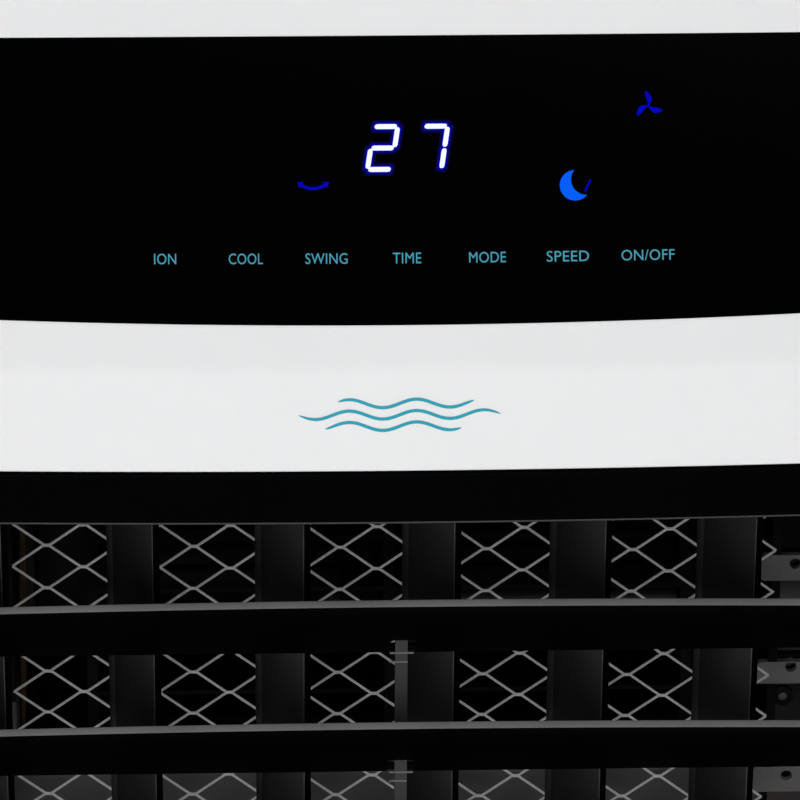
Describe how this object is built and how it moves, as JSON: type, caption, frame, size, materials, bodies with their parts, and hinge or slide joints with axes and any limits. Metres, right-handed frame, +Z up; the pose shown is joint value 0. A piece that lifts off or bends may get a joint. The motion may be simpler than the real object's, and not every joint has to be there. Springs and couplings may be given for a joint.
{
  "type": "evaporative cooler",
  "caption": "Wheeled household evaporative air cooler with tilting louvres, swinging vanes, drum blower, wet pad, pump and drawer tank.",
  "frame": {"origin": "centre of the bounding box's bottom face, on the floor under the cabinet", "axes": "+X to the cabinet's right seen from the front, +Y from front to back, +Z up"},
  "size_m": [0.32, 0.33, 0.69],
  "materials": {
    "white_shell": "satin gloss",
    "black_gloss": "gloss",
    "display_glass": "high gloss",
    "circuit_board": "satin",
    "clear_window": "clear",
    "zinc_steel": "satin",
    "black_matt": "fine grain",
    "louvre_grey": "satin",
    "vane_black": "satin",
    "mesh_grey": "satin",
    "housing_grey": "satin",
    "motor_silver": "satin",
    "hose_clear": "translucent",
    "tank_plastic": "satin",
    "ice_blue": "satin",
    "filter_net": "net",
    "pad_kraft": "corrugated cellulose",
    "caster_black": "satin",
    "caster_tyre": "matt"
  },
  "bodies": {
    "cabinet": {"base_tray": "white_shell", "left_side_panel": "white_shell", "right_side_panel": "white_shell", "control_fascia": "white_shell", "display_glass": "display_glass", "display_board": "circuit_board", "top_cover": "white_shell", "outlet_frame": "black_gloss", "front_lower_panel": "white_shell", "water_level_window": "clear_window", "rear_frame": "white_shell", "case_screws": "zinc_steel", "cord_gland": "black_matt", "vane_frame": "black_matt", "swing_motor": "black_matt", "guard_mesh": "mesh_grey", "scroll_housing": "housing_grey", "scroll_cover": "housing_grey", "fan_motor": "motor_silver", "motor_bracket": "zinc_steel", "electronics_deck": "black_matt", "main_board": "circuit_board", "run_capacitor": "black_matt", "ionizer_module": "black_matt", "water_tray": "housing_grey", "riser_hose": "hose_clear", "drip_shelf": "black_matt"},
    "fan_rotor": {"blower_wheel": "black_matt", "motor_shaft": "zinc_steel"},
    "louvre_1": {"louvre_1": "louvre_grey"},
    "louvre_2": {"louvre_2": "louvre_grey"},
    "louvre_3": {"louvre_3": "louvre_grey"},
    "louvre_4": {"louvre_4": "louvre_grey"},
    "louvre_5": {"louvre_5": "louvre_grey"},
    "louvre_link": {"louvre_link": "black_matt"},
    "vane_1": {"vane_1": "vane_black"},
    "vane_2": {"vane_2": "vane_black"},
    "vane_3": {"vane_3": "vane_black"},
    "vane_4": {"vane_4": "vane_black"},
    "vane_5": {"vane_5": "vane_black"},
    "vane_6": {"vane_6": "vane_black"},
    "vane_7": {"vane_7": "vane_black"},
    "vane_link": {"vane_link": "black_matt"},
    "tank": {"water_tank": "tank_plastic", "pump": "black_matt", "ice_packs": "ice_blue"},
    "impeller": {"pump_impeller": "black_matt"},
    "latch": {"tank_latch": "black_gloss"},
    "rear_panel": {"rear_grille": "white_shell", "dust_filter": "filter_net", "pad_frame": "housing_grey", "cooling_pad": "pad_kraft"},
    "front_left_caster": {"front_left_fork": "caster_black"},
    "front_left_tyre": {"front_left_wheel": "caster_tyre"},
    "front_right_caster": {"front_right_fork": "caster_black"},
    "front_right_tyre": {"front_right_wheel": "caster_tyre"},
    "rear_left_caster": {"rear_left_fork": "caster_black"},
    "rear_left_tyre": {"rear_left_wheel": "caster_tyre"},
    "rear_right_caster": {"rear_right_fork": "caster_black"},
    "rear_right_tyre": {"rear_right_wheel": "caster_tyre"}
  },
  "joints": [
    {"name": "fan_spin", "type": "hinge", "parent": "cabinet", "child": "fan_rotor", "pos_m": [0, 0.01, 0.44], "axis": [1, 0, 0], "continuous": true},
    {"name": "louvre_1_tilt", "type": "hinge", "parent": "cabinet", "child": "louvre_1", "pos_m": [0, -0.149, 0.51435], "axis": [1, 0, 0], "range_deg": [-6, 79]},
    {"name": "louvre_2_tilt", "type": "hinge", "parent": "cabinet", "child": "louvre_2", "pos_m": [0, -0.149, 0.47905], "axis": [1, 0, 0], "range_deg": [-6, 79]},
    {"name": "louvre_3_tilt", "type": "hinge", "parent": "cabinet", "child": "louvre_3", "pos_m": [0, -0.149, 0.44375], "axis": [1, 0, 0], "range_deg": [-6, 79]},
    {"name": "louvre_4_tilt", "type": "hinge", "parent": "cabinet", "child": "louvre_4", "pos_m": [0, -0.149, 0.40845], "axis": [1, 0, 0], "range_deg": [-6, 79]},
    {"name": "louvre_5_tilt", "type": "hinge", "parent": "cabinet", "child": "louvre_5", "pos_m": [0, -0.149, 0.37315], "axis": [1, 0, 0], "range_deg": [-6, 79]},
    {"name": "louvre_link_turn", "type": "hinge", "parent": "louvre_1", "child": "louvre_link", "pos_m": [0, -0.13981, 0.50378], "axis": [1, 0, 0], "range_deg": [-79, 6]},
    {"name": "vane_4_swing", "type": "hinge", "parent": "cabinet", "child": "vane_4", "pos_m": [0.0035, -0.102, 0.45], "axis": [0, 0, 1], "range_deg": [-52.6, 7.4]},
    {"name": "vane_1_swing", "type": "hinge", "parent": "cabinet", "child": "vane_1", "pos_m": [-0.1141, -0.102, 0.45], "axis": [0, 0, 1], "range_deg": [-52.6, 7.4]},
    {"name": "vane_2_swing", "type": "hinge", "parent": "cabinet", "child": "vane_2", "pos_m": [-0.0749, -0.102, 0.45], "axis": [0, 0, 1], "range_deg": [-52.6, 7.4]},
    {"name": "vane_3_swing", "type": "hinge", "parent": "cabinet", "child": "vane_3", "pos_m": [-0.0357, -0.102, 0.45], "axis": [0, 0, 1], "range_deg": [-52.6, 7.4]},
    {"name": "vane_5_swing", "type": "hinge", "parent": "cabinet", "child": "vane_5", "pos_m": [0.0427, -0.102, 0.45], "axis": [0, 0, 1], "range_deg": [-52.6, 7.4]},
    {"name": "vane_6_swing", "type": "hinge", "parent": "cabinet", "child": "vane_6", "pos_m": [0.0819, -0.102, 0.45], "axis": [0, 0, 1], "range_deg": [-52.6, 7.4]},
    {"name": "vane_7_swing", "type": "hinge", "parent": "cabinet", "child": "vane_7", "pos_m": [0.1211, -0.102, 0.45], "axis": [0, 0, 1], "range_deg": [-52.6, 7.4]},
    {"name": "vane_link_turn", "type": "hinge", "parent": "vane_4", "child": "vane_link", "pos_m": [0.01119, -0.12046, 0.353], "axis": [0, 0, 1], "range_deg": [-7.4, 52.6]},
    {"name": "tank_slide", "type": "slide", "parent": "cabinet", "child": "tank", "axis": [0, 1, 0], "range_m": [0, 0.22]},
    {"name": "impeller_spin", "type": "hinge", "parent": "tank", "child": "impeller", "pos_m": [-0.118, 0.126, 0.072], "axis": [0, 0, 1], "continuous": true},
    {"name": "latch_turn", "type": "hinge", "parent": "cabinet", "child": "latch", "pos_m": [0, 0.157, 0.182], "axis": [0, 1, 0], "range_deg": [0, 90]},
    {"name": "rear_panel_slide", "type": "slide", "parent": "cabinet", "child": "rear_panel", "axis": [0, 1, 0], "range_m": [0, 0.12]},
    {"name": "front_left_swivel", "type": "hinge", "parent": "cabinet", "child": "front_left_caster", "pos_m": [-0.115, -0.115, 0.05], "axis": [0, 0, 1], "continuous": true},
    {"name": "front_left_roll", "type": "hinge", "parent": "front_left_caster", "child": "front_left_tyre", "pos_m": [-0.115, -0.103, 0.018], "axis": [1, 0, 0], "continuous": true},
    {"name": "front_right_swivel", "type": "hinge", "parent": "cabinet", "child": "front_right_caster", "pos_m": [0.115, -0.115, 0.05], "axis": [0, 0, 1], "continuous": true},
    {"name": "front_right_roll", "type": "hinge", "parent": "front_right_caster", "child": "front_right_tyre", "pos_m": [0.115, -0.103, 0.018], "axis": [1, 0, 0], "continuous": true},
    {"name": "rear_left_swivel", "type": "hinge", "parent": "cabinet", "child": "rear_left_caster", "pos_m": [-0.115, 0.115, 0.05], "axis": [0, 0, 1], "continuous": true},
    {"name": "rear_left_roll", "type": "hinge", "parent": "rear_left_caster", "child": "rear_left_tyre", "pos_m": [-0.115, 0.127, 0.018], "axis": [1, 0, 0], "continuous": true},
    {"name": "rear_right_swivel", "type": "hinge", "parent": "cabinet", "child": "rear_right_caster", "pos_m": [0.115, 0.115, 0.05], "axis": [0, 0, 1], "continuous": true},
    {"name": "rear_right_roll", "type": "hinge", "parent": "rear_right_caster", "child": "rear_right_tyre", "pos_m": [0.115, 0.127, 0.018], "axis": [1, 0, 0], "continuous": true}
  ],
  "couplings": [
    {"joint": "louvre_2_tilt", "follows": "louvre_1_tilt", "ratio": 1},
    {"joint": "louvre_3_tilt", "follows": "louvre_1_tilt", "ratio": 1},
    {"joint": "louvre_4_tilt", "follows": "louvre_1_tilt", "ratio": 1},
    {"joint": "louvre_5_tilt", "follows": "louvre_1_tilt", "ratio": 1},
    {"joint": "louvre_link_turn", "follows": "louvre_1_tilt", "ratio": -1},
    {"joint": "vane_1_swing", "follows": "vane_4_swing", "ratio": 1},
    {"joint": "vane_2_swing", "follows": "vane_4_swing", "ratio": 1},
    {"joint": "vane_3_swing", "follows": "vane_4_swing", "ratio": 1},
    {"joint": "vane_5_swing", "follows": "vane_4_swing", "ratio": 1},
    {"joint": "vane_6_swing", "follows": "vane_4_swing", "ratio": 1},
    {"joint": "vane_7_swing", "follows": "vane_4_swing", "ratio": 1},
    {"joint": "vane_link_turn", "follows": "vane_4_swing", "ratio": -1}
  ]
}
